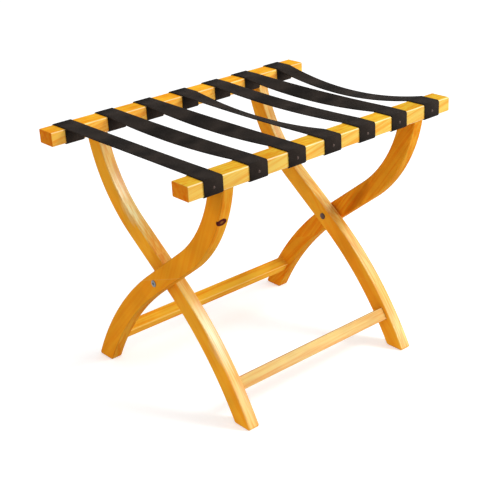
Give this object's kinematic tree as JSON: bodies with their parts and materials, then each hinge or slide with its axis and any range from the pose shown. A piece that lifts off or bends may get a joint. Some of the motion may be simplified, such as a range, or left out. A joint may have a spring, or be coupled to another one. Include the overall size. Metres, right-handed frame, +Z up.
{
  "type": "folding luggage rack",
  "caption": "Folding scissor luggage rack with bent wooden legs, two square rails, stretchers and dark webbing straps across the rails.",
  "frame": {"origin": "middle of the floor area, on the floor", "axes": "X along the rails, with +X towards the right-hand end as seen from the near side; +Y from the near rail to the far rail; +Z up"},
  "size_m": [0.6, 0.4344, 0.4818],
  "materials": {
    "lacquered_pine": "clear satin lacquer over pine",
    "beech_dowel": "bare turned beech",
    "webbing": "flat woven webbing",
    "bolt_steel": "zinc plated",
    "nut_steel": "dark bronzed",
    "tack_steel": "dull blued",
    "nylon": "natural nylon"
  },
  "bodies": {
    "outer_frame": {"near_rail": "lacquered_pine", "outer_leg_left": "lacquered_pine", "outer_leg_right": "lacquered_pine", "far_stretcher": "lacquered_pine", "near_rail_dowels": "beech_dowel", "far_stretcher_dowels": "beech_dowel", "near_strap_tacks": "tack_steel", "pivot_bolt_left": "bolt_steel", "pivot_bolt_right": "bolt_steel", "pivot_sleeve_nut_left": "nut_steel", "pivot_sleeve_nut_right": "nut_steel", "pivot_spacer_left": "nylon", "pivot_spacer_right": "nylon", "strap_1": "webbing", "strap_2": "webbing", "strap_3": "webbing", "strap_4": "webbing", "strap_5": "webbing", "strap_6": "webbing", "strap_7": "webbing"},
    "inner_frame": {"far_rail": "lacquered_pine", "inner_leg_left": "lacquered_pine", "inner_leg_right": "lacquered_pine", "near_stretcher": "lacquered_pine", "far_rail_dowels": "beech_dowel", "near_stretcher_dowels": "beech_dowel", "far_strap_tacks": "tack_steel"}
  },
  "joints": [
    {"name": "fold", "type": "hinge", "parent": "outer_frame", "child": "inner_frame", "pos_m": [0, 0, 0.22296], "axis": [1, 0, 0], "range_deg": [0, 66], "deforming": ["strap_1", "strap_2", "strap_3", "strap_4", "strap_5", "strap_6", "strap_7"]}
  ]
}
